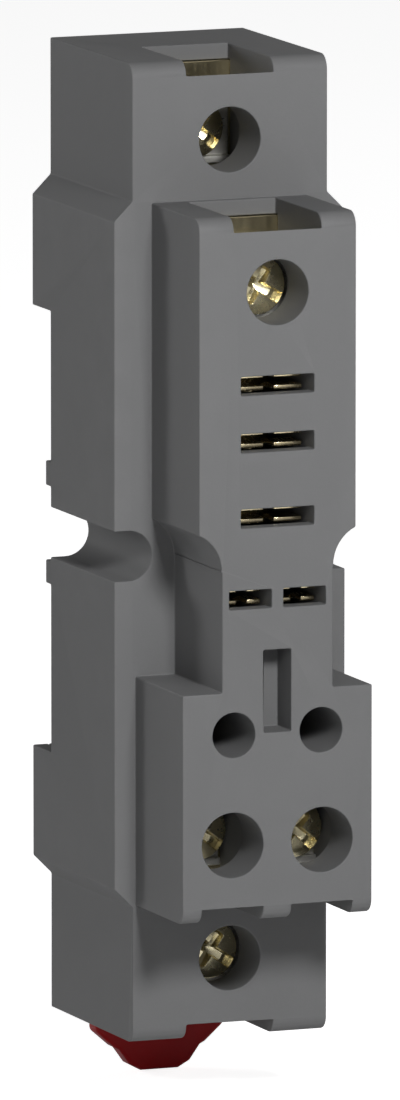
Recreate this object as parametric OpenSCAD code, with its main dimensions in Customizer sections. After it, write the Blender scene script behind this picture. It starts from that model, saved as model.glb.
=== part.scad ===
// Relay socket for a 35 mm rail: a slim moulded housing with five screw terminals,
// three contact slots and two coil slots, an inset back cover and a sliding rail clip.
// X runs across the socket, Y from its front into the wall, and Z upwards.
// The origin is the middle of the seat on which the front of the rail lies.

/* [Housing] */
// Overall height of the moulded body
body_h = 78.5; // [77:0.5:90]
// Width of the wide middle part
middle_w = 19.7; // [19:0.1:26]
// Height of the wide middle part, between its chamfers
middle_h = 53.5; // [51:0.5:55]
// Width of the narrow blocks at the top and the bottom
block_w = 16.6; // [16:0.1:18.4]
// Distance from the rail to the face of the end terminals
face_d = 14; // [14:0.1:18]
// Thickness of the side and end walls
wall = 1.3; // [1:0.05:1.4]
// Thickness of the front wall behind the end terminals' face
front_wall = 1.8; // [1.4:0.1:2.6]
// Radius of the rounded front edges at the top and the bottom
edge_r = 1.2; // [0.6:0.1:1.5]

/* [Front tiers] */
// How far the raised tiers stand in front of the end terminals' face
tier_d = 10.2; // [10.2:0.1:13]
// Width of the upper tier, which carries the contact slots
upper_w = 13.3; // [12.9:0.1:14.4]
// Width of the waist, which carries the coil slots
waist_w = 9.4; // [9.2:0.1:10]
// Width of the lower tier, which carries the coil terminals
lower_w = 16.1; // [15.8:0.1:16.6]
// Distance from the middle of the socket to the far ends of the tiers
tier_h = 28.1; // [27.6:0.1:28.4]
// Distance from the middle of the socket down to the lower tier
waist_h = 9.7; // [8:0.1:10.6]

/* [Rail] */
// Width of the mounting rail, edge to edge
rail_w = 35; // [35:0.1:35.5]
// Play of the rail in its recess
rail_play = 0.6; // [0.4:0.1:1]
// Depth of the rail recess
recess_d = 4; // [4:0.1:5]
// How far the fixed lips and the clip reach over the edges of the rail
hook_reach = 1.4; // [1:0.1:1.8]
// Gap between the rail seat and the fixed lips, for the rail's own thickness
hook_gap = 1.3; // [1.2:0.05:1.5]
// Width of the fixed lips
hook_w = 12; // [8:0.5:14]

/* [Side notches] */
// Radius of the half-round screw notches in the sides
notch_r = 2; // [1.5:0.1:2.2]
// Distance from the middle of the socket to the bottom of a notch
notch_x = 6.65; // [6.4:0.05:7]
// Radius of the recess for a screw head in front of each notch
head_recess_r = 3.25; // [2.6:0.05:3.4]
// Distance from the middle of the socket to the edge of that recess
head_recess_x = 4.75; // [4.7:0.05:5.4]

/* [Terminals] */
// Distance of the end terminals' screws from the ends of the body
end_screw_inset = 6.4; // [6.2:0.05:6.6]
// Distance of the upper tier's screw from the top of its tier
upper_screw_inset = 6.1; // [6:0.05:6.2]
// Distance of the coil terminals' screws from the bottom of their tier
coil_screw_inset = 6.2; // [6:0.05:6.3]
// Distance of the coil terminals' screws from the middle line
coil_screw_x = 3.8; // [3.7:0.05:3.9]
// Diameter of the access holes for the screwdriver
access_d = 5.2; // [5:0.05:5.2]
// Width of the single wire entries
entry_w = 7.4; // [6.8:0.1:7.8]
// Width of the two wire entries of the coil terminals
coil_entry_w = 5.2; // [5.2:0.1:5.4]
// Depth of the wire entries, from the face to their back wall
entry_d = 9.8; // [9.7:0.05:10]
// Depth at which the clamping space begins, from the face
chamber_d = 4.6; // [4.4:0.05:4.7]
// Depth of the terminal strips, from the face
strip_d = 9.4; // [9.3:0.05:9.6]
// Thickness of the terminal strips
strip_t = 0.8; // [0.6:0.05:0.9]
// Width of the terminal strips under a single wire entry
strip_w = 8.6; // [8.2:0.1:9]
// Width of the terminal strips between terminal and contact
run_w = 4; // [3:0.1:4.2]
// Inner radius of the folds in the strips
fold_r = 0.4; // [0.2:0.05:0.6]

/* [Screws and clamps] */
// Diameter of the screws over the thread
screw_d = 2.9; // [2.5:0.05:3]
// Length of the screws below the head
screw_l = 5.3; // [4.8:0.1:5.4]
// Diameter of the screw heads
head_d = 4.8; // [4.4:0.05:4.8]
// Height of the screw heads
head_h = 1.5; // [1.3:0.05:1.6]
// Width of the driver slots
slot_w = 0.8; // [0.6:0.05:1]
// Depth of the driver slots
slot_d = 0.9; // [0.5:0.05:1]
// Height of the clamp plates
clamp_h = 6; // [5.6:0.1:6.2]
// Thickness of the clamp plates
clamp_t = 0.6; // [0.5:0.05:0.8]
// How far the folded ends of a clamp plate stand out
clamp_lip = 0.5; // [0.3:0.05:0.6]
// How far the end terminal at the top is backed out
top_out = 0; // [0:0.1:3.4]
// How far the upper tier's terminal is backed out
upper_out = 3; // [0:0.1:3.4]
// How far the left coil terminal is backed out
coil_left_out = 0; // [0:0.1:3.4]
// How far the right coil terminal is backed out
coil_right_out = 1.5; // [0:0.1:3.4]
// How far the end terminal at the bottom is backed out
bottom_out = 3; // [0:0.1:3.4]

/* [Blade contacts] */
// Height of the first contact slot above the middle
slot_1_z = 14.65; // [14.5:0.05:14.9]
// Height of the second contact slot above the middle
slot_2_z = 10.1; // [9.9:0.05:10.3]
// Height of the third contact slot above the middle
slot_3_z = 4.1; // [3.9:0.05:4.5]
// Distance of the coil slots below the middle
coil_slot_z = 2.35; // [2.2:0.05:2.6]
// Distance of the coil slots' centres from the middle line
coil_slot_x = 2.3; // [2.3:0.05:2.4]
// Width of the contact slots
slot_span = 6.2; // [5.4:0.1:6.4]
// Width of the coil slots
coil_slot_span = 3.6; // [3.4:0.1:3.6]
// Height of the slots
slot_h = 1.5; // [1.3:0.05:1.8]
// Thickness of the front face in front of the contacts
slot_wall = 1.5; // [1.2:0.1:1.9]
// Height of the contacts across both leaves
contact_h = 3.2; // [3:0.05:3.3]
// Thickness of the contact leaves
leaf_t = 0.35; // [0.25:0.05:0.4]
// Gap between the leaves at their narrowest
pinch = 0.5; // [0.3:0.05:0.8]
// Gap between the leaves at their mouth
mouth_gap = 1.35; // [1:0.05:1.5]
// Width of the slit that parts each leaf into two fingers
slit_w = 0.9; // [0.6:0.05:1]

/* [Module seat] */
// Diameter of the two holes for the pins of a plug-in module
pin_hole_d = 3.6; // [3:0.1:3.8]
// Distance of those holes from the middle line
pin_hole_x = 3.7; // [3.6:0.05:3.9]
// Distance of those holes below the middle
pin_hole_z = 13.1; // [12.8:0.05:13.4]
// Width of the key pocket between them
key_w = 2.3; // [1.6:0.1:2.6]
// Height of the key pocket
key_h = 6.6; // [4:0.1:7]
// Distance of the key pocket's top below the middle
key_z = 6.45; // [6:0.05:7]
// Depth of the key pocket
key_d = 2.9; // [1:0.1:4]

/* [Back cover] */
// Thickness of the back cover
cover_t = 1.5; // [1.2:0.1:1.8]
// Height of the raised seat on which the rail lies
seat_h = 32; // [28:0.1:32.2]
// How far that seat stands out from the cover around it
seat_rise = 0.3; // [0.1:0.05:0.5]
// Clearance between the back cover and the walls around it
cover_gap = 0.05; // [0.03:0.01:0.1]
// Distance from the rail seat to the front of the clip's guide
guide_front = 0.5; // [0.5:0.05:0.6]
// Width of the posts that press the strips home
post_w = 1; // [0.8:0.1:1.2]
// Height of the posts beside the terminals
tall_post_h = 3.6; // [2:0.1:4]
// Height of the posts along the strips
short_post_h = 1.6; // [1:0.1:2]

/* [Rail clip] */
// Width of the clip
clip_w = 11; // [9.6:0.1:12]
// Thickness of the clip
clip_t = 1.9; // [1.5:0.05:1.95]
// Distance from the rail seat to the front of the clip
clip_y = 1.15; // [1.15:0.05:1.2]
// Running clearance around the clip
clip_gap = 0.1; // [0.05:0.01:0.15]
// How far the clip's pull tab reaches below the body
tab_l = 5.2; // [4.4:0.1:8]
// Width of the pull tab where it leaves the shoulders
tab_w = 7; // [5.6:0.1:8]
// Distance from the bottom of the body to the shoulders of the pull tab
tab_shoulder = 3.3; // [2.8:0.1:3.6]
// Travel of the clip when it is pulled down
clip_travel = 2.5; // [1.6:0.1:2.6]
// Width of each spring leg
leg_w = 1.2; // [0.8:0.05:1.3]
// Length of each spring leg
leg_l = 12; // [8:0.5:12.5]

/* [Hidden] */
$fn = 48;

// Overshoot of every cutter, and the clearances of loose, close and threaded fits
cut = 1;
loose = 0.4;
close = 0.1;
thread_gap = 0.05;
face_gap = 0.05;

// Colours of the materials
plastic_grey = [0.36, 0.36, 0.37];
cover_grey = [0.32, 0.32, 0.33];
clip_red = [0.55, 0.02, 0.06];
strip_brass = [0.80, 0.72, 0.48];
contact_bronze = [0.80, 0.66, 0.38];
clamp_steel = [0.74, 0.74, 0.70];
screw_yellow = [0.85, 0.78, 0.52];

// Planes across the depth
y_face = -face_d;
y_tier = y_face - tier_d;
y_end_strip = y_face + strip_d;
y_tier_strip = y_tier + strip_d;
y_well = y_tier + slot_wall;
y_contact_mouth = y_well + 0.5;

// Half sizes of the outline
half_h = body_h / 2;
half_middle_w = middle_w / 2;
half_middle_h = middle_h / 2;
half_block_w = block_w / 2;
chamfer = half_middle_w - half_block_w;
recess_z = (rail_w + rail_play) / 2;
deep_z = tier_h - wall + close;
notch_wall_x = notch_x - wall;
notch_wall_z = notch_r + wall;

// Heights of the screws, counted from the middle
end_screw_z = half_h - end_screw_inset;
upper_screw_z = tier_h - upper_screw_inset;
coil_screw_z = tier_h - coil_screw_inset;

// Strips end just inside the end walls of the tiers and of the body
end_strip_z = half_h - wall - face_gap;
tier_strip_z = tier_h - wall - face_gap;
// Lower edge of the wide part of a strip, below its clamp
strip_tail = clamp_h / 2 + loose + 1.1;
coil_strip_w = 2 * (coil_screw_x - 0.75);
coil_strip_top = pin_hole_z - pin_hole_d / 2 - close;
contact_w = slot_span - 0.6;
coil_contact_w = coil_slot_span - 0.4;
well_h = contact_h + 0.3;

// Terminals: centre x, centre z, face, way of the wire entry, entry width, backed out
TERMINALS = [
    [0, end_screw_z, y_face, 1, entry_w, top_out],
    [0, upper_screw_z, y_tier, 1, entry_w, upper_out],
    [-coil_screw_x, -coil_screw_z, y_tier, -1, coil_entry_w, coil_left_out],
    [coil_screw_x, -coil_screw_z, y_tier, -1, coil_entry_w, coil_right_out],
    [0, -end_screw_z, y_face, -1, entry_w, bottom_out]];
TOP = 0;
UPPER = 1;
COIL_LEFT = 2;
COIL_RIGHT = 3;
BOTTOM = 4;

// The end of the body or of the tier that a terminal's wire entry opens through
function entry_end(t) = t[3] * (t[2] == y_face ? half_h : tier_h);
// Depth of a tight screw head's front, worked back from the strip through the clamp
tight_d = strip_d - 2 * face_gap - clamp_t - head_h;

// Snap nubs on the rear edges of the side walls: centre z and height
NUBS = [[4.65, 2], [-3.3, 1.9]];
nub_d = 1.1;

// ---- helpers ----

// An outline in X and Z, carried from depth y0 to depth y1
module slab(y0, y1)
    translate([0, y1, 0]) rotate([90, 0, 0]) linear_extrude(y1 - y0) children();

// An outline in Y and Z, carried across from x0 to x1
module across(x0, x1)
    translate([x0, 0, 0]) rotate([90, 0, 90]) linear_extrude(x1 - x0) children();

// A box between two corners
module box(x0, x1, y0, y1, z0, z1)
    translate([x0, y0, z0]) cube([x1 - x0, y1 - y0, z1 - z0]);

// A round bar or hole along Y
module rod(x, z, y0, y1, d)
    translate([x, y0, z]) rotate([-90, 0, 0]) cylinder(h = y1 - y0, d = d);

// Takes the sharp front edge off a block of width w that ends at height z
module edge_cutter(w, y, z, way)
    difference() {
        translate([0, y, z])
            cube([w + 2 * cut, 2 * edge_r, 2 * edge_r], center = true);
        translate([0, y + edge_r, z - way * edge_r]) rotate([0, 90, 0])
            cylinder(h = w + 4 * cut, r = edge_r, center = true);
        // Keeps what lies behind and inside the rounding
        translate([0, y + edge_r * 2, z]) cube([w + 4 * cut, 2 * edge_r, 5 * edge_r], center = true);
        translate([0, y, z - way * edge_r * 2])
            cube([w + 4 * cut, 5 * edge_r, 2 * edge_r], center = true);
    }

// ---- housing ----

// Front view of the body: narrow blocks and a wide middle with chamfered corners
module body_outline() {
    square([block_w, body_h], center = true);
    polygon([[half_middle_w, half_middle_h], [half_block_w, half_middle_h + chamfer],
        [-half_block_w, half_middle_h + chamfer], [-half_middle_w, half_middle_h],
        [-half_middle_w, -half_middle_h], [-half_block_w, -half_middle_h - chamfer],
        [half_block_w, -half_middle_h - chamfer], [half_middle_w, -half_middle_h]]);
}

// Front view of the raised tiers: upper tier, waist and lower tier
module tier_outline() {
    translate([-upper_w / 2, 0]) square([upper_w, tier_h]);
    translate([-waist_w / 2, -waist_h - cut]) square([waist_w, waist_h + 2 * cut]);
    translate([-lower_w / 2, -tier_h]) square([lower_w, tier_h - waist_h]);
}

// Front view of the space inside the walls, smaller by gap all round
module cavity_outline(gap)
    difference() {
        union() {
            square([middle_w - 2 * (wall + gap), 2 * (deep_z - gap)], center = true);
            square([block_w - 2 * (wall + gap), body_h - 2 * (wall + gap)], center = true);
        }
        for (side = [-1, 1])
            translate([side * (notch_wall_x - gap + half_middle_w), 0])
                square([middle_w, 2 * (notch_wall_z + gap)], center = true);
    }

// A screw notch and the recess for its head, on one side
module notch_cutter(side) {
    slab(y_face - cut, recess_d + cut) union() {
        translate([side * (notch_x + notch_r), 0]) circle(r = notch_r);
        translate([side * (notch_x + notch_r + half_middle_w), 0])
            square([middle_w, 2 * notch_r], center = true);
    }
    slab(y_tier - cut, y_face)
        translate([side * (head_recess_x + head_recess_r), 0]) circle(r = head_recess_r);
}

// Side view of a funnel that leads a wire from the end wall to the clamping space
module entry_profile(t) {
    z_end = entry_end(t);
    z_sill = z_end - t[3] * edge_r;
    z_throat = t[1] + t[3] * (clamp_h / 2 + close);
    polygon([[t[2] - cut, z_end + t[3] * cut], [t[2] - cut, z_sill], [t[2], z_sill],
        [t[2] + chamber_d, z_throat], [t[2] + entry_d, z_throat],
        [t[2] + entry_d, z_end + t[3] * cut]]);
}

// The access hole, clamping space and wire entry of one terminal
module terminal_cutter(t) {
    z_low = t[1] - t[3] * (clamp_h / 2 + loose);
    z_high = entry_end(t) - t[3] * wall;
    rod(t[0], t[1], t[2] - cut, t[2] + chamber_d + face_gap, access_d);
    box(t[0] - t[4] / 2, t[0] + t[4] / 2, t[2] + chamber_d, t[2] + strip_d + cut / 4,
        min(z_low, z_high), max(z_low, z_high));
    across(t[0] - t[4] / 2, t[0] + t[4] / 2) entry_profile(t);
}

// The slot in the front face and the well behind it, for one blade contact
module contact_cutter(x, z, span) {
    box(x - span / 2, x + span / 2, y_tier - cut, y_well + cut, z - slot_h / 2, z + slot_h / 2);
    box(x - span / 2, x + span / 2, y_well, y_face + front_wall + cut,
        z - well_h / 2, z + well_h / 2);
}

module housing()
    color(plastic_grey) difference() {
        union() {
            difference() {
                slab(y_face, recess_d) body_outline();
                for (way = [-1, 1]) edge_cutter(block_w, y_face, way * half_h, way);
            }
            difference() {
                slab(y_tier, y_face + front_wall) tier_outline();
                edge_cutter(middle_w, y_tier, tier_h, 1);
                edge_cutter(middle_w, y_tier, -tier_h, -1);
            }
        }
        box(-middle_w, middle_w, 0, recess_d + cut, -recess_z, recess_z);
        for (side = [-1, 1]) notch_cutter(side);
        // Space for the end strips, behind the blocks
        slab(y_end_strip, recess_d + cut) cavity_outline(0);
        // Deep space inside the middle
        slab(y_face + front_wall, recess_d + cut) intersection() {
            cavity_outline(0);
            square([middle_w, 2 * deep_z], center = true);
        }
        for (t = TERMINALS) terminal_cutter(t);
        // Seats of the tiers' strips
        slab(y_tier_strip, y_face + front_wall + cut) {
            upper_strip_outline(close);
            for (side = [-1, 1]) scale([side, 1]) coil_strip_outline(close);
        }
        contact_cutter(0, slot_1_z, slot_span);
        contact_cutter(0, slot_2_z, slot_span);
        contact_cutter(0, slot_3_z, slot_span);
        for (side = [-1, 1]) {
            contact_cutter(side * coil_slot_x, -coil_slot_z, coil_slot_span);
            rod(side * pin_hole_x, -pin_hole_z, y_tier - cut, y_tier_strip + cut / 4, pin_hole_d);
        }
        box(-key_w / 2, key_w / 2, y_tier - cut, y_tier + key_d, -key_z - key_h, -key_z);
        // Way out for the rail clip through the bottom wall
        box(-clip_w / 2 - 2 * clip_gap, clip_w / 2 + 2 * clip_gap, clip_y - 2 * clip_gap,
            recess_d + cut, -half_h - cut, -half_h + wall + cut);
    }

module wall_nubs()
    for (side = [-1, 1], nub = NUBS)
        translate([side * (half_middle_w - wall / 2), 0, nub[0]])
            cube([wall, 2 * nub_d, nub[1]], center = true);

// ---- terminal strips ----

// Front view of the upper tier's strip, larger by gap all round
module upper_strip_outline(gap) {
    z_wide = upper_screw_z - strip_tail;
    z_end = slot_1_z - contact_h / 2 - gap;
    translate([-strip_w / 2 - gap, z_wide - gap])
        square([strip_w + 2 * gap, tier_strip_z - z_wide + 1.5 * gap]);
    translate([-contact_w / 2 - gap, z_end])
        square([contact_w + 2 * gap, z_wide - z_end + gap]);
}

// Front view of the right coil strip, larger by gap all round
module coil_strip_outline(gap) {
    z_top = -coil_slot_z + contact_h / 2 + gap;
    translate([coil_screw_x - coil_strip_w / 2 - gap, -tier_strip_z - gap / 2])
        square([coil_strip_w + 2 * gap, tier_strip_z - coil_strip_top + 1.5 * gap]);
    translate([coil_slot_x - coil_contact_w / 2 - gap, -coil_strip_top - cut])
        square([coil_contact_w + 2 * gap, coil_strip_top + cut + z_top]);
}

// The drawn collar behind a strip gives the thread its length
collar_d = 4.2;
collar_l = 1.2;

module collar(t, y) rod(t[0], t[1], y + strip_t - face_gap, y + strip_t + collar_l, collar_d);

module thread_hole(t, y)
    rod(t[0], t[1], y - cut, y + strip_t + collar_l + cut, screw_d + 2 * thread_gap);

module upper_strip()
    color(strip_brass) difference() {
        union() {
            slab(y_tier_strip, y_tier_strip + strip_t) upper_strip_outline(0);
            collar(TERMINALS[UPPER], y_tier_strip);
        }
        thread_hole(TERMINALS[UPPER], y_tier_strip);
    }

module coil_strip(side)
    color(strip_brass) difference() {
        union() {
            slab(y_tier_strip, y_tier_strip + strip_t) scale([side, 1]) coil_strip_outline(0);
            collar(TERMINALS[side < 0 ? COIL_LEFT : COIL_RIGHT], y_tier_strip);
        }
        thread_hole(TERMINALS[side < 0 ? COIL_LEFT : COIL_RIGHT], y_tier_strip);
    }

// A quarter ring in the corner of a folded strip, turning about its centre point
module fold(y, z, way_y, way_z)
    translate([y, z]) intersection() {
        difference() {
            circle(r = fold_r + strip_t);
            circle(r = fold_r);
        }
        translate([way_y > 0 ? 0 : -2 * strip_t - fold_r, way_z > 0 ? 0 : -2 * strip_t - fold_r])
            square(2 * strip_t + fold_r);
    }

// Side view of an end strip: down the back, forward as a tongue, and up behind its contact
module end_strip_profile(slot_z, z_top) {
    z_tongue = slot_z - contact_h / 2;
    z_bend = z_tongue + strip_t + fold_r;
    y_back_bend = y_end_strip - fold_r;
    y_front_bend = y_tier_strip + strip_t + fold_r;
    translate([y_end_strip, z_bend]) square([strip_t, z_top - z_bend]);
    fold(y_back_bend, z_bend, 1, -1);
    translate([y_front_bend, z_tongue]) square([y_back_bend - y_front_bend, strip_t]);
    fold(y_front_bend, z_bend, -1, -1);
    translate([y_tier_strip, z_bend]) square([strip_t, slot_z + contact_h / 2 - z_bend]);
}

// An end strip whose terminal is above; the bottom one is the same, upside down
module end_strip(slot_z)
    color(strip_brass) difference() {
        union() {
            across(-run_w / 2, run_w / 2) end_strip_profile(slot_z, end_screw_z);
            box(-strip_w / 2, strip_w / 2, y_end_strip, y_end_strip + strip_t,
                end_screw_z - strip_tail, end_strip_z);
            collar(TERMINALS[TOP], y_end_strip);
        }
        thread_hole(TERMINALS[TOP], y_end_strip);
    }

// ---- blade contacts ----

// Side view of the upper leaf, from the base to the flared mouth
module leaf_profile() {
    z_base = contact_h / 2 - leaf_t / 2;
    z_pinch = (pinch + leaf_t) / 2;
    z_mouth = (mouth_gap - leaf_t) / 2;
    y_base = y_tier_strip - leaf_t;
    y_elbow = y_base - 2.4;
    y_pinch = y_contact_mouth + 1.7;
    line = [[y_base + leaf_t, z_base], [y_elbow, z_base - 0.1], [y_pinch, z_pinch],
        [y_contact_mouth, z_mouth]];
    last = len(line) - 1;
    polygon([for (p = line) p + [0, leaf_t / 2], for (i = [last:-1:0]) line[i] - [0, leaf_t / 2]]);
}

// A folded contact: a base plate on its strip and two slit leaves that grip the blade
module contact(x, z, w)
    color(contact_bronze) translate([x, 0, z]) difference() {
        union() {
            box(-w / 2, w / 2, y_tier_strip - leaf_t, y_tier_strip, -contact_h / 2, contact_h / 2);
            across(-w / 2, w / 2) leaf_profile();
            across(-w / 2, w / 2) mirror([0, 1]) leaf_profile();
        }
        box(-slit_w / 2, slit_w / 2, y_contact_mouth - cut, y_tier_strip - leaf_t - 2.4,
            -contact_h, contact_h);
    }

// ---- clamps and screws ----

// A clamp plate on its screw, with both ends folded forward
module clamp(t) {
    w = t[4] - 2 * loose;
    y = t[2] + strip_d - face_gap - clamp_t - t[5];
    color(clamp_steel) difference() {
        union() {
            box(t[0] - w / 2, t[0] + w / 2, y, y + clamp_t, t[1] - clamp_h / 2, t[1] + clamp_h / 2);
            for (end = [-1, 1])
                translate([t[0], y - clamp_lip / 2, t[1] + end * (clamp_h - clamp_t) / 2])
                    cube([w, clamp_lip + face_gap, clamp_t], center = true);
        }
        rod(t[0], t[1], y - cut, y + clamp_t + cut, screw_d + 2 * close);
    }
}

// Half section of a screw, from the middle of the head's front down to the tip
module screw_profile() {
    dome = 0.25;
    tip = 0.4;
    polygon([[0, 0], [head_d / 2 - 2 * dome, 0], [head_d / 2, 2 * dome], [head_d / 2, head_h],
        [screw_d / 2, head_h], [screw_d / 2, head_h + screw_l - tip],
        [screw_d / 2 - tip, head_h + screw_l], [0, head_h + screw_l]]);
}

module screw(t)
    color(screw_yellow) translate([t[0], t[2] + tight_d - t[5], t[1]]) rotate([-90, 0, 0])
        difference() {
            rotate_extrude() screw_profile();
            cube([head_d + cut, slot_w, 2 * slot_d], center = true);
            cube([slot_w, head_d * 0.62, 2 * slot_d], center = true);
        }

// ---- back cover ----

// The inner face of the cover, at a height above or below the rail seat
function cover_face(z) =
    abs(z) < recess_z + cover_t ? -cover_t : (z > 0 ? recess_d - cover_t : guide_front);

// Side view of the cover: it follows the rail recess and thickens at the clip's guide
module cover_profile() {
    z_end = half_h - wall - cover_gap;
    z_step = recess_z + cover_t;
    polygon([[recess_d, z_end], [recess_d, recess_z], [-seat_rise, recess_z],
        [-seat_rise, seat_h / 2], [0, seat_h / 2], [0, -seat_h / 2], [-seat_rise, -seat_h / 2],
        [-seat_rise, -recess_z], [recess_d, -recess_z], [recess_d, -z_end], [guide_front, -z_end],
        [guide_front, -z_step], [-cover_t, -z_step], [-cover_t, z_step],
        [recess_d - cover_t, z_step], [recess_d - cover_t, z_end]]);
}

// A post from the cover's inner face to the back of a strip
module post(x, z, h, y_tip)
    box(x - post_w / 2, x + post_w / 2, y_tip, cover_face(z) + cut / 2, z - h / 2, z + h / 2);

// The posts on one side: two long ones for the tiers' strips, and short ones for the end strips
module posts(side) {
    y_tier_back = y_tier_strip + strip_t;
    y_end_back = y_end_strip + strip_t;
    x_coil = coil_screw_x + coil_strip_w / 2 - post_w;
    z_coil = -coil_screw_z + collar_d / 2 + loose + tall_post_h / 2;
    post(side * (strip_w / 2 - post_w), upper_screw_z, tall_post_h, y_tier_back);
    post(side * x_coil, z_coil, tall_post_h, y_tier_back);
    post(side * (run_w / 2 + loose + post_w / 2), -coil_strip_top + 4, short_post_h, y_tier_back);
    for (way = [-1, 1]) {
        post(side * (strip_w / 2 - post_w), way * end_screw_z, tall_post_h, y_end_back);
        post(side * run_w / 4, way * (recess_z - 2.8), short_post_h, y_end_back);
    }
}

// Space of the rail clip in its guide, between the stops of its spring legs
stop_h = 0.9;
z_leg_tip = -recess_z - 3.2 - leg_l;
z_stop = z_leg_tip - clip_travel - 3 * clip_gap;
z_shoulder = z_stop - stop_h - 3 * clip_gap;

module guide_cutter() {
    stem_w = clip_w - 2 * leg_w;
    difference() {
        box(-clip_w / 2 - clip_gap, clip_w / 2 + clip_gap, clip_y - clip_gap,
            clip_y + clip_t + clip_gap, -half_h, -recess_z + cut);
        for (side = [-1, 1])
            translate([side * (stem_w / 2 + leg_w), clip_y, z_stop - stop_h / 2])
                cube([2 * leg_w, 4 * clip_t, stop_h], center = true);
    }
}

module back_cover()
    color(cover_grey) difference() {
        union() {
            intersection() {
                across(-half_middle_w, half_middle_w) cover_profile();
                slab(-cover_t - cut, recess_d + cut) cavity_outline(cover_gap);
            }
            // Fixed lips over the rail's upper edge
            across(-hook_w / 2, hook_w / 2)
                polygon([[hook_gap, recess_z + cut / 2], [hook_gap, recess_z - hook_reach],
                    [hook_gap + 0.5, recess_z - hook_reach], [recess_d, recess_z - 0.2],
                    [recess_d, recess_z + cut / 2]]);
            for (side = [-1, 1]) posts(side);
        }
        guide_cutter();
    }

// ---- rail clip ----

// Front view of the clip below its nose: stem, two spring legs, shoulders and pull tab
module clip_outline() {
    half_w = clip_w / 2;
    z_root = -recess_z - clip_gap;
    z_legs = z_leg_tip + leg_l;
    z_tip = -half_h - tab_l;
    z_tab = -half_h - tab_shoulder;
    stem = half_w - leg_w - 0.6;
    difference() {
        union() {
            translate([-half_w, z_legs]) square([clip_w, z_root - z_legs]);
            translate([-stem, z_shoulder - cut]) square([2 * stem, z_legs - z_shoulder + 2 * cut]);
            for (side = [-1, 1])
                translate([side * (half_w - leg_w / 2) - leg_w / 2, z_leg_tip])
                    square([leg_w, leg_l + cut]);
            polygon([[-half_w, z_shoulder], [-half_w, z_tab + 1.5], [-tab_w / 2 - 0.4, z_tab + 0.1],
                [-tab_w / 2, z_tab - 0.1], [-tab_w / 2 + 0.9, z_tip + 0.55],
                [-tab_w / 2 + 1.9, z_tip], [tab_w / 2 - 1.9, z_tip], [tab_w / 2 - 0.9, z_tip + 0.55],
                [tab_w / 2, z_tab - 0.1], [tab_w / 2 + 0.4, z_tab + 0.1], [half_w, z_tab + 1.5],
                [half_w, z_shoulder]]);
        }
        // Finger hole, half hidden behind the bottom of the body
        translate([0, -half_h + 0.95]) circle(r = 1.9);
    }
}

// Side view of the nose that hooks over the rail, sloped to ride over its edge
module nose_profile()
    polygon([[clip_y, -recess_z - clip_gap - cut / 2], [clip_y, -recess_z + hook_reach],
        [clip_y + 0.5, -recess_z + hook_reach], [clip_y + clip_t, -recess_z],
        [clip_y + clip_t, -recess_z - clip_gap - cut / 2]]);

module rail_clip()
    color(clip_red) {
        slab(clip_y, clip_y + clip_t) clip_outline();
        across(-clip_w / 2 + 0.8, clip_w / 2 - 0.8) nose_profile();
    }

union() { housing(); color(plastic_grey) wall_nubs(); }
back_cover();
rail_clip();
end_strip(slot_2_z);  // strip_top
upper_strip();  // strip_upper
coil_strip(-1);  // strip_coil_left
coil_strip(1);  // strip_coil_right
mirror([0, 0, 1]) end_strip(-slot_3_z);  // strip_bottom
contact(0, slot_1_z, contact_w);  // contact_1
contact(0, slot_2_z, contact_w);  // contact_2
contact(0, slot_3_z, contact_w);  // contact_3
contact(-coil_slot_x, -coil_slot_z, coil_contact_w);  // contact_coil_left
contact(coil_slot_x, -coil_slot_z, coil_contact_w);  // contact_coil_right
clamp(TERMINALS[TOP]);  // clamp_top
clamp(TERMINALS[UPPER]);  // clamp_upper
clamp(TERMINALS[COIL_LEFT]);  // clamp_coil_left
clamp(TERMINALS[COIL_RIGHT]);  // clamp_coil_right
clamp(TERMINALS[BOTTOM]);  // clamp_bottom
screw(TERMINALS[TOP]);  // screw_top
screw(TERMINALS[UPPER]);  // screw_upper
screw(TERMINALS[COIL_LEFT]);  // screw_coil_left
screw(TERMINALS[COIL_RIGHT]);  // screw_coil_right
screw(TERMINALS[BOTTOM]);  // screw_bottom
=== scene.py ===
import bmesh
import bpy
import numpy as np
from mathutils import Matrix, Vector


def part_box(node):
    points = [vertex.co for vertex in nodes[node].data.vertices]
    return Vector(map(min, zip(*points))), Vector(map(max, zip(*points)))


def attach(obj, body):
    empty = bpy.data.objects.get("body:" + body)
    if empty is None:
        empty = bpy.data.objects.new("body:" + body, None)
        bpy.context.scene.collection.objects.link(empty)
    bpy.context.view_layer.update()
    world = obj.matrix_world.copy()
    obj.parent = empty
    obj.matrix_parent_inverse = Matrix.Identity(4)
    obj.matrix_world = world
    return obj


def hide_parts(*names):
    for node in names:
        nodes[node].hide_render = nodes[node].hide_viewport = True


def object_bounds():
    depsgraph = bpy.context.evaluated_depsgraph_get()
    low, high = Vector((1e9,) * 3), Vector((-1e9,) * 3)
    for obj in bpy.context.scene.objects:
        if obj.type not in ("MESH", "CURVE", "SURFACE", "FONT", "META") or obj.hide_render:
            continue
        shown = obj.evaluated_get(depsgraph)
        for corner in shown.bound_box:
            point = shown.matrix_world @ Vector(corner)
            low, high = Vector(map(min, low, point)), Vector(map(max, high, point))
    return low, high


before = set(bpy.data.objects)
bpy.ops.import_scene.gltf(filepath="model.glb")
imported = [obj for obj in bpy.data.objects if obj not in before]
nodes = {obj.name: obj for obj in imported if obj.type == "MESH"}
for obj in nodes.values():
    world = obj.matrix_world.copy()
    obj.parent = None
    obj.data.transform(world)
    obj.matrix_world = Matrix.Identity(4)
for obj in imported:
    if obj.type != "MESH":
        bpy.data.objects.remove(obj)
cad_low, cad_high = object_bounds()
MM = 0.001

# ---- Housing ----
# The housing is one injection moulding in dark grey filled polyamide, with a very fine spark
# grain on its faces. The steel tool leaves its edges sharp, with a radius of a tenth or so,
# and a painted sheen lightens the colour along those edges.

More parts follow.
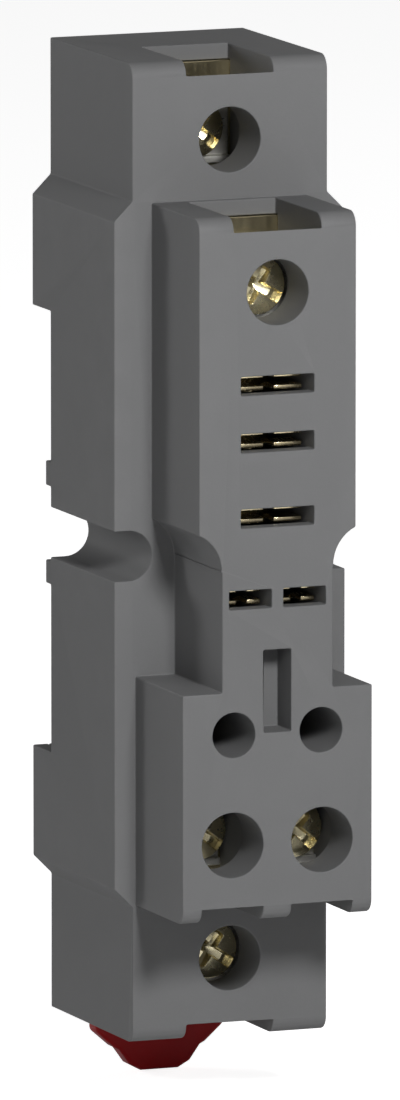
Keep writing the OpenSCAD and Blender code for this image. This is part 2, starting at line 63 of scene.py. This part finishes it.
HOUSING_EDGE = 0.11 * MM
HOUSING_GREY = (0.165, 0.166, 0.168)


def shader_group(name, inputs, outputs):
    """An empty shader node group; inputs are (name, kind, default), outputs (name, kind)."""
    group = bpy.data.node_groups.new(name, "ShaderNodeTree")
    for label, kind, default in inputs:
        socket = group.interface.new_socket(label, in_out="INPUT", socket_type="NodeSocket" + kind)
        socket.default_value = default
    for label, kind in outputs:
        group.interface.new_socket(label, in_out="OUTPUT", socket_type="NodeSocket" + kind)
    return group, group.nodes.new("NodeGroupInput").outputs, group.nodes.new("NodeGroupOutput").inputs


def node(tree, kind, settings=None, values=None, links=None):
    """Adds one node: settings are its properties, values its sockets' numbers, links its wires."""
    made = tree.nodes.new("ShaderNode" + kind)
    for key, value in (settings or {}).items():
        setattr(made, key, value)
    for key, value in (values or {}).items():
        made.inputs[key].default_value = value
    for key, wire in (links or {}).items():
        tree.links.new(wire, made.inputs[key])
    return made


def maths(tree, operation, first, second=0.0, clamp=False):
    """One Math node on two wires or numbers."""
    made = tree.nodes.new("ShaderNodeMath")
    made.operation, made.use_clamp = operation, clamp
    for socket, value in zip(made.inputs, (first, second)):
        if isinstance(value, (int, float)):
            socket.default_value = value
        else:
            tree.links.new(value, socket)
    return made.outputs[0]


def blend_colour(tree, amount, first, second):
    """Mixes two colours by an amount that varies over the surface."""
    made = tree.nodes.new("ShaderNodeMix")
    made.data_type = "RGBA"
    sockets = (made.inputs["Factor"], made.inputs[6], made.inputs[7])
    for socket, value in zip(sockets, (amount, first, second)):
        if isinstance(value, (int, float, tuple)):
            socket.default_value = value if isinstance(value, (int, float)) else (*value, 1.0)[:4]
        else:
            tree.links.new(value, socket)
    return made.outputs[2]


def spark_grain_group():
    """Fine spark-eroded grain: two noises, one of the grain's size and one of slow flow marks."""
    group, take, give = shader_group(
        "spark_grain",
        (("Colour", "Color", (0.2, 0.2, 0.2, 1)), ("Roughness", "Float", 0.5),
         ("Grain size mm", "Float", 0.2), ("Unevenness", "Float", 0.05)),
        (("Colour", "Color"), ("Roughness", "Float"), ("Height", "Float")))
    place = node(group, "TexCoord").outputs["Object"]
    scale = maths(group, "DIVIDE", 1.0 / MM, take["Grain size mm"])
    grain = node(group, "TexNoise", values={"Detail": 3.0, "Roughness": 0.62},
                 links={"Vector": place, "Scale": scale}).outputs["Fac"]
    slow = node(group, "TexNoise", values={"Scale": 95.0, "Detail": 2.0, "Roughness": 0.5},
                links={"Vector": place}).outputs["Fac"]
    # Colour: the resin's slow unevenness, with the grain's pits a little darker
    shade = maths(group, "ADD", maths(group, "MULTIPLY", maths(group, "SUBTRACT", slow, 0.5), 2.0),
                  maths(group, "MULTIPLY", maths(group, "SUBTRACT", grain, 0.5), 1.1))
    factor = maths(group, "ADD", maths(group, "MULTIPLY", shade, take["Unevenness"]), 1.0)
    scaled = node(group, "VectorMath", {"operation": "SCALE"},
                  links={0: take["Colour"], "Scale": factor}).outputs[0]
    group.links.new(scaled, give["Colour"])
    rough = maths(group, "ADD", take["Roughness"],
                  maths(group, "MULTIPLY", maths(group, "SUBTRACT", slow, 0.5), 0.16), clamp=True)
    group.links.new(rough, give["Roughness"])
    group.links.new(grain, give["Height"])
    return group


def edge_wear_and_sheen_group():
    """Mask of convex edges, from the surface's pointedness, broken up by a noise. The plastics use it
    to paint a sheen along their edges, and the metals use it for edges rubbed free of tarnish.
    """
    group, take, give = shader_group(
        "edge_wear_and_sheen",
        (("Start", "Float", 0.53), ("Width", "Float", 0.06), ("Amount", "Float", 1.0)),
        (("Mask", "Float"),))
    pointed = node(group, "NewGeometry").outputs["Pointiness"]
    place = node(group, "TexCoord").outputs["Object"]
    patches = node(group, "TexNoise", values={"Scale": 420.0, "Detail": 3.0},
                   links={"Vector": place}).outputs["Fac"]
    rise = maths(group, "DIVIDE", maths(group, "SUBTRACT", pointed, take["Start"]), take["Width"],
                 clamp=True)
    broken = maths(group, "MULTIPLY", rise, maths(group, "MULTIPLY", patches, 1.6), clamp=True)
    group.links.new(maths(group, "MULTIPLY", broken, take["Amount"]), give["Mask"])
    return group


SPARK_GRAIN = spark_grain_group()
EDGE_WEAR_AND_SHEEN = edge_wear_and_sheen_group()


def finish_of(name, metallic=0.0, specular=0.5, coat=0.0, coat_roughness=0.1):
    """A material with one Principled shader, whose constants are set on its own sockets."""
    material = bpy.data.materials.new(name)
    material.use_nodes = True
    tree = material.node_tree
    shader = tree.nodes["Principled BSDF"]
    shader.inputs["Metallic"].default_value = metallic
    shader.inputs["Specular IOR Level"].default_value = specular
    shader.inputs["Coat Weight"].default_value = coat
    shader.inputs["Coat Roughness"].default_value = coat_roughness
    return material, tree, shader


def effect(tree, group, values=None, links=None):
    """Places a shared effect in a material, with the material's own values."""
    made = tree.nodes.new("ShaderNodeGroup")
    made.node_tree = group
    for key, value in (values or {}).items():
        made.inputs[key].default_value = value if isinstance(value, (int, float)) else (*value, 1.0)
    for key, wire in (links or {}).items():
        tree.links.new(wire, made.inputs[key])
    return made.outputs


def relief(tree, shader, height, depth_mm, strength=1.0):
    """Feeds a height field of a depth in millimetres to the shader's Normal."""
    bump = node(tree, "Bump", values={"Distance": depth_mm * MM, "Strength": strength},
                links={"Height": height})
    tree.links.new(bump.outputs["Normal"], shader.inputs["Normal"])


def moulded_plastic(name, colour, roughness, grain_mm, grain_depth, specular, edge_sheen_colour, uneven=0.05):
    """Moulded resin: spark grain for colour, roughness and relief. Along the edges, a painted sheen
    lightens the colour and the roughness drops a little.
    """
    material, tree, shader = finish_of(name, specular=specular)
    grain = effect(tree, SPARK_GRAIN, {"Colour": colour, "Roughness": roughness,
                                       "Grain size mm": grain_mm, "Unevenness": uneven})
    edge = effect(tree, EDGE_WEAR_AND_SHEEN, {"Amount": 0.35})["Mask"]
    # The edge mask lightens the base colour toward the last colour argument: a painted sheen along the
    # edges.
    tree.links.new(blend_colour(tree, edge, grain["Colour"], edge_sheen_colour),
                   shader.inputs["Base Color"])
    tree.links.new(maths(tree, "SUBTRACT", grain["Roughness"], maths(tree, "MULTIPLY", edge, 0.12),
                         clamp=True), shader.inputs["Roughness"])
    relief(tree, shader, grain["Height"], grain_depth)
    return material


def with_moulded_edges(cad_node, name, material, radius, segments=2, flat_deg=1.0, crisp_deg=35.0):
    """A copy of a CAD node, merged into flat faces, with its edges rounded by the tool's radius."""
    mesh = nodes[cad_node].data.copy()
    form = bmesh.new()
    form.from_mesh(mesh)
    bmesh.ops.remove_doubles(form, verts=form.verts, dist=0.002 * MM)
    bmesh.ops.dissolve_limit(form, angle_limit=np.radians(flat_deg), verts=form.verts,
                             edges=form.edges)
    for face in form.faces:
        face.smooth = True
    form.to_mesh(mesh)
    form.free()
    mesh.name = name
    mesh.materials.clear()
    mesh.materials.append(material)
    piece = bpy.data.objects.new(name, mesh)
    bpy.context.scene.collection.objects.link(piece)
    edges = piece.modifiers.new("moulded_edges", "BEVEL")
    edges.width, edges.segments, edges.limit_method = radius, segments, "ANGLE"
    edges.angle_limit = np.radians(crisp_deg)
    edges.use_clamp_overlap = False
    edges.miter_outer = "MITER_ARC"
    flats = piece.modifiers.new("flat_faces", "WEIGHTED_NORMAL")
    flats.mode, flats.weight, flats.keep_sharp = "FACE_AREA", 100, True
    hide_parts(cad_node)
    return piece


# The last colour, a lighter grey, is painted along the edges as a sheen.
body_plastic = moulded_plastic("body_plastic", HOUSING_GREY, 0.55, 0.22, 0.006, 0.10,
                               (0.22, 0.22, 0.222))
housing = with_moulded_edges("housing", "moulded_housing", body_plastic, HOUSING_EDGE)
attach(housing, "socket")

# ---- Back cover ----
# The cover closes the housing from behind: a second moulding in the same resin, snapped
# between the side walls. It carries the rail recess with its fixed lips and the clip's guide.

COVER_EDGE = 0.1 * MM
COVER_GREY = (0.140, 0.141, 0.143)
# The last colour, a lighter grey, is painted along the edges as a sheen.
cover_plastic = moulded_plastic("cover_plastic", COVER_GREY, 0.55, 0.25, 0.008, 0.10,
                                (0.19, 0.19, 0.192))
back_cover = with_moulded_edges("back_cover", "snapped_back_cover", cover_plastic, COVER_EDGE)
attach(back_cover, "socket")

# ---- Rail clip ----
# The sliding clip is moulded in dark red polyamide with a smoother, glossier finish, so that
# it shows which piece to pull. It slides in the cover's guide on two spring legs.

CLIP_EDGE = 0.3 * MM
CLIP_RED = (0.33, 0.0004, 0.0022)
# The lighter red is painted along the edges as a sheen.
clip_plastic = moulded_plastic("clip_plastic", CLIP_RED, 0.38, 0.5, 0.004, 0.2,
                               (0.42, 0.003, 0.008), 0.08)
rail_clip = with_moulded_edges("rail_clip", "sliding_rail_clip", clip_plastic, CLIP_EDGE, 3)
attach(rail_clip, "clip")

# ---- Conductor strips ----
# Five strips are stamped and bent from half-hard brass sheet, 0.8 mm thick. Each runs from a
# terminal to its blade contact behind the front wall, and its screw collar is drawn and tapped.


def rolled_sheet_group():
    """Rolled metal: long fine streaks along the rolling direction, and slow cloudy tarnish."""
    group, take, give = shader_group(
        "rolled_sheet",
        (("Colour", "Color", (0.8, 0.7, 0.5, 1)), ("Tarnish", "Color", (0.4, 0.3, 0.15, 1)),
         ("Roughness", "Float", 0.3), ("Stretch", "Vector", (2.0, 2.0, 0.12)),
         ("Tarnish amount", "Float", 0.35)),
        (("Colour", "Color"), ("Roughness", "Float"), ("Height", "Float")))
    place = node(group, "TexCoord").outputs["Object"]
    drawn = node(group, "VectorMath", {"operation": "MULTIPLY"},
                 links={0: place, 1: take["Stretch"]}).outputs[0]
    streaks = node(group, "TexNoise", values={"Scale": 2200.0, "Detail": 4.0, "Roughness": 0.6},
                   links={"Vector": drawn}).outputs["Fac"]
    clouds = node(group, "TexNoise", values={"Scale": 330.0, "Detail": 4.0, "Roughness": 0.55},
                  links={"Vector": place}).outputs["Fac"]
    stain = maths(group, "MULTIPLY", maths(group, "MULTIPLY", maths(group, "SUBTRACT", clouds, 0.42),
                                           3.2, clamp=True), take["Tarnish amount"])
    group.links.new(blend_colour(group, stain, take["Colour"], take["Tarnish"]), give["Colour"])
    rough = maths(group, "ADD", take["Roughness"], maths(group, "ADD",
                  maths(group, "MULTIPLY", maths(group, "SUBTRACT", streaks, 0.5), 0.22),
                  maths(group, "MULTIPLY", stain, 0.25)), clamp=True)
    group.links.new(rough, give["Roughness"])
    group.links.new(streaks, give["Height"])
    return group


ROLLED_SHEET = rolled_sheet_group()


def sheet_metal(name, colour, tarnish, roughness, stretch, amount, depth_mm=0.004):
    """Sheet or wire metal with rolling streaks, cloudy tarnish and edges rubbed bright."""
    material, tree, shader = finish_of(name, metallic=1.0)
    rolled = effect(tree, ROLLED_SHEET, {"Colour": colour, "Tarnish": tarnish,
                                         "Roughness": roughness, "Tarnish amount": amount})
    tree.nodes[-1].inputs["Stretch"].default_value = stretch
    edge = effect(tree, EDGE_WEAR_AND_SHEEN, {"Amount": 0.6})["Mask"]
    tree.links.new(blend_colour(tree, edge, rolled["Colour"], colour), shader.inputs["Base Color"])
    tree.links.new(rolled["Roughness"], shader.inputs["Roughness"])
    relief(tree, shader, rolled["Height"], depth_mm)
    return material


strip_metal = sheet_metal("strip_metal", (0.82, 0.72, 0.46), (0.42, 0.32, 0.16), 0.2,
                          (0.7, 0.7, 0.05), 0.15, 0.0015)
for cad_name in ("strip_top", "strip_upper", "strip_coil_left", "strip_coil_right", "strip_bottom"):
    strip = with_moulded_edges(cad_name, "stamped_" + cad_name, strip_metal, 0.06 * MM)
    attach(strip, "socket")

# ---- Blade contacts ----
# Each contact is folded from spring bronze: two leaves face each other behind a slot, pinch
# the relay's blade between them and flare at the mouth. Each leaf is slit into two fingers.

contact_metal = sheet_metal("contact_metal", (0.86, 0.74, 0.48), (0.38, 0.27, 0.12), 0.22,
                            (2.0, 0.15, 2.0), 0.3)
for cad_name in ("contact_1", "contact_2", "contact_3", "contact_coil_left", "contact_coil_right"):
    contact = with_moulded_edges(cad_name, "folded_" + cad_name, contact_metal, 0.05 * MM)
    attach(contact, "socket")

# ---- Clamp plates ----
# A square plate rides on each screw and presses the wires on the strip. It is pressed from
# zinc plated steel, with both ends folded forward so that it can't turn in its chamber.

clamp_metal = sheet_metal("clamp_metal", (0.80, 0.79, 0.74), (0.45, 0.42, 0.34), 0.3,
                          (0.3, 2.0, 2.0), 0.25)
TERMINALS = ("top", "upper", "coil_left", "coil_right", "bottom")
for terminal in TERMINALS:
    clamp = with_moulded_edges("clamp_" + terminal, "pressed_clamp_" + terminal, clamp_metal,
                               0.08 * MM)
    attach(clamp, terminal + "_clamp")

# ---- Terminal screws ----
# M3 screws with a flat domed head and a combination drive: a slot right across and a cross
# in the middle. They are cold headed, thread rolled and passivated to a pale yellow.

HEAD_D, HEAD_H, SHANK_D, SHANK_L = 4.8 * MM, 1.5 * MM, 2.9 * MM, 5.3 * MM
THREAD_PITCH, THREAD_DEPTH = 0.5 * MM, 0.22 * MM


def smooth_step(x, low, high):
    """Runs from 0 at low to 1 at high on a smooth cubic."""
    t = np.clip((x - low) / (high - low), 0.0, 1.0)
    return t * t * (3 - 2 * t)


def drive_depth(x, z):
    """Depth of the combination drive at a place on the head: the deeper of a slot that runs
    across the head and a cross whose four wings taper to a pointed middle."""
    radius = np.hypot(x, z)
    slot = 0.62 * MM * (1 - smooth_step(np.abs(z), 0.36 * MM, 0.44 * MM))
    slot *= 1 - smooth_step(radius, 2.28 * MM, 2.40 * MM)
    wing = 1 - smooth_step(np.minimum(np.abs(x), np.abs(z)), 0.30 * MM, 0.40 * MM)
    cross = wing * (1 - smooth_step(radius, 1.42 * MM, 1.58 * MM))
    cross *= 1.25 * MM - 0.45 * radius
    return np.maximum(slot, cross)


def screw_surface(name, centre_x, head_y, centre_z, turn, around=176):
    """One closed surface in two parameters: the angle round the screw, and the way along its
    half section, from the middle of the head's front over the rim and down the shank to the
    tip. The head's front is pushed in by the drive's depth, and the shank's radius follows
    a triangle wave of angle / turn - depth / pitch, which winds the thread on it."""
    dome, rim = 0.34 * MM, 0.16 * MM
    r_head, r_shank = HEAD_D / 2, SHANK_D / 2
    r_drive = 1.7 * MM
    r_top = np.concatenate([np.linspace(0.0, r_drive, 44)[1:],
                            np.linspace(r_drive, r_head - rim, 16)[1:]])
    y_top = dome * (r_top / r_head) ** 2
    bend = np.linspace(0, np.pi / 2, 6)[1:]
    r_rim = r_head - rim + rim * np.sin(bend)
    y_rim = y_top[-1] + rim * (1 - np.cos(bend))
    under = np.linspace(r_head, r_shank - THREAD_DEPTH / 2, 7)
    r_under = np.concatenate([[r_head], under])
    y_under = np.concatenate([[HEAD_H - 0.1 * MM], np.full(under.size, HEAD_H)])
    rows_thread = int(SHANK_L / THREAD_PITCH * 9)
    y_thread = np.linspace(HEAD_H + 0.05 * MM, HEAD_H + SHANK_L - 0.02 * MM, rows_thread)
    fade_in = smooth_step(y_thread, HEAD_H + 0.05 * MM, HEAD_H + 0.5 * MM)
    fade_out = 1 - smooth_step(y_thread, HEAD_H + SHANK_L - 0.45 * MM, HEAD_H + SHANK_L - 0.02 * MM)
    tip = np.clip((HEAD_H + SHANK_L - y_thread) / (0.45 * MM), 0, 1)
    r_core = r_shank - THREAD_DEPTH
    r_tip = np.linspace(1, 0, 7)[1:-1] * (r_core - 0.25 * MM)

    r = np.concatenate([r_top, r_rim, r_under, np.zeros(rows_thread), r_tip])
    y = np.concatenate([y_top, y_rim, y_under, y_thread, np.full(r_tip.size, HEAD_H + SHANK_L)])
    angle = np.linspace(0, 2 * np.pi, around, endpoint=False)
    radius = np.repeat(r[:, None], around, 1)
    depth = np.repeat(y[:, None], around, 1)
    first = r_top.size + r_rim.size + r_under.size
    phase = angle[None] / (2 * np.pi) - y_thread[:, None] / THREAD_PITCH
    wave = 1 - 2 * np.abs(phase - np.floor(phase) - 0.5)
    wave = np.clip(wave * 1.35 - 0.12, 0, 1)
    ridge = THREAD_DEPTH * wave * (fade_in * fade_out)[:, None]
    body = r_core - 0.25 * MM + 0.25 * MM * tip[:, None]
    radius[first:first + rows_thread] = body + ridge
    x, z = radius * np.cos(angle), radius * np.sin(angle)
    last_top = r_top.size
    depth[:last_top] += drive_depth(x[:last_top], z[:last_top])
    front = float(drive_depth(np.zeros(1), np.zeros(1))[0])

    cos_t, sin_t = np.cos(turn), np.sin(turn)
    grid = np.stack([centre_x + x * cos_t - z * sin_t, head_y + depth,
                     centre_z + x * sin_t + z * cos_t], -1).reshape(-1, 3)
    points = np.concatenate([[[centre_x, head_y + front, centre_z]], grid,
                             [[centre_x, head_y + HEAD_H + SHANK_L, centre_z]]])
    rows = r.size
    ids = 1 + np.arange(rows * around).reshape(rows, around)
    nxt = np.roll(ids, -1, 1)
    quads = np.stack([ids[:-1], nxt[:-1], nxt[1:], ids[1:]], -1).reshape(-1, 4)
    fan_in = np.stack([np.zeros(around, int), nxt[0], ids[0]], -1)
    fan_out = np.stack([np.full(around, len(points) - 1), ids[-1], nxt[-1]], -1)
    mesh = bpy.data.meshes.new(name)
    mesh.from_pydata(points.tolist(), [], fan_in.tolist() + quads.tolist() + fan_out.tolist())
    mesh.validate()
    form = bmesh.new()
    form.from_mesh(mesh)
    bmesh.ops.recalc_face_normals(form, faces=form.faces)
    for face in form.faces:
        face.smooth = True
    form.to_mesh(mesh)
    form.free()
    return mesh


screw_metal = sheet_metal("screw_metal", (0.86, 0.78, 0.52), (0.40, 0.32, 0.16), 0.24,
                          (1.0, 1.0, 1.0), 0.45, 0.003)
TURNS = {"top": 2.45, "upper": 2.6, "coil_left": 2.5, "coil_right": 2.4, "bottom": 2.55}
for terminal in TERMINALS:
    low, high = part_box("screw_" + terminal)
    mesh = screw_surface("threaded_screw_" + terminal, (low.x + high.x) / 2, low.y,
                         (low.z + high.z) / 2, TURNS[terminal])
    mesh.materials.append(screw_metal)
    screw = bpy.data.objects.new("threaded_screw_" + terminal, mesh)
    bpy.context.scene.collection.objects.link(screw)
    crisp = screw.modifiers.new("crisp_edges", "EDGE_SPLIT")
    crisp.split_angle = np.radians(50)
    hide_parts("screw_" + terminal)
    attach(screw, terminal + "_screw")

# ---- Floor, light and camera ----
# The socket stands free over a plain white floor in a white room. The main soft lamp stands
# nearly straight in front of it and above; one behind its left lights its left side, and
# weaker ones on its front left and its right fill the shadows.

scene = bpy.context.scene
scene.view_settings.view_transform = "Standard"

FLOOR_GAP, FLOOR_REACH = 0.2 * MM, 3.0
# Name, azimuth to the left, elevation, distance in metres, apparent size in degrees, strength
LAMPS = (("main_lamp", 2.5, 27.0, 0.29, 11.5, 0.72),
         ("left_rear_lamp", 136.0, 13.0, 0.40, 17.0, 0.27),
         ("front_left_fill", 42.0, 4.0, 0.60, 45.0, 0.13),
         ("right_fill", -112.0, 4.0, 0.60, 45.0, 0.21))


def towards(azimuth, elevation):
    """The direction from the socket to a place at that angle, to its left for a positive azimuth."""
    return np.array([-np.sin(azimuth) * np.cos(elevation), -np.cos(azimuth) * np.cos(elevation),
                     np.sin(elevation)])


def facing(location, target, upward=(0, 0, 1)):
    """A pose at location whose -Z axis points at target."""
    back = (Vector(location) - Vector(target)).normalized()
    right = Vector(upward).cross(back).normalized()
    up = back.cross(right)
    turn = Matrix((right, up, back)).transposed().to_4x4()
    return Matrix.Translation(Vector(location)) @ turn


def seen_white(tree, white, glossy, dim):
    """Strength for rays from the camera, for mirrored rays, and dim for those that light."""
    path = node(tree, "LightPath").outputs
    looks = maths(tree, "MAXIMUM", path["Is Camera Ray"], path["Is Transmission Ray"])
    mirrored = maths(tree, "MULTIPLY", path["Is Glossy Ray"], glossy - dim)
    return maths(tree, "ADD", maths(tree, "ADD", maths(tree, "MULTIPLY", looks, white - dim),
                                    mirrored), dim)


world = bpy.data.worlds.new("white_room")
scene.world = world
world.use_nodes = True
room = world.node_tree.nodes["Background"]
room.inputs["Color"].default_value = (1, 1, 1, 1)
world.node_tree.links.new(seen_white(world.node_tree, 1.0, 0.30, 0.035), room.inputs["Strength"])

floor_z = cad_low.z - FLOOR_GAP
floor_mesh = bpy.data.meshes.new("white_floor")
corners = ((-1, -1), (1, -1), (1, 1), (-1, 1))
floor_mesh.from_pydata([(x * FLOOR_REACH, y * FLOOR_REACH, floor_z) for x, y in corners], [],
                       [(0, 1, 2, 3)])
floor = bpy.data.objects.new("white_floor", floor_mesh)
scene.collection.objects.link(floor)
floor_paint = bpy.data.materials.new("white_floor")
floor_paint.use_nodes = True
tree = floor_paint.node_tree
tree.nodes.remove(tree.nodes["Principled BSDF"])
matt = node(tree, "BsdfDiffuse", values={"Color": (0.85, 0.85, 0.85, 1)}).outputs[0]
glow = node(tree, "Emission", links={"Strength": seen_white(tree, 0.88, 0.15, 0.0)}).outputs[0]
both = node(tree, "AddShader", links={0: matt, 1: glow}).outputs[0]
tree.links.new(both, tree.nodes["Material Output"].inputs["Surface"])
floor_mesh.materials.append(floor_paint)

for name, azimuth, elevation, distance, apparent, strength in LAMPS:
    lamp = bpy.data.lights.new(name, "AREA")
    lamp.shape = "DISK"
    lamp.size = 2 * distance * np.tan(np.radians(apparent / 2))
    # A small disk lamp gives a facing surface the strength power / (pi * distance) ** 2
    lamp.energy = strength * (np.pi * distance) ** 2
    holder = bpy.data.objects.new(name, lamp)
    scene.collection.objects.link(holder)
    place = towards(np.radians(azimuth), np.radians(elevation)) * distance
    holder.matrix_world = facing(place, (0, 0, 0))

VIEW_AZ, VIEW_EL = np.radians(21.60), np.radians(8.87)
LENS, SENSOR, FRAME_HEIGHT = 620.0, 36.0, 88.0 * MM
camera_data = bpy.data.cameras.new("camera")
camera_data.lens, camera_data.sensor_width = LENS, SENSOR
camera_data.clip_start, camera_data.clip_end = 0.01, 50.0
camera = bpy.data.objects.new("camera", camera_data)
scene.collection.objects.link(camera)
back = towards(VIEW_AZ, VIEW_EL)
right = np.array([np.cos(VIEW_AZ), -np.sin(VIEW_AZ), 0.0])
up = np.cross(back, right)
aim = right * 2.773 * MM - up * 1.998 * MM
camera.matrix_world = facing(aim + back * FRAME_HEIGHT * LENS / SENSOR, aim)
scene.camera = camera
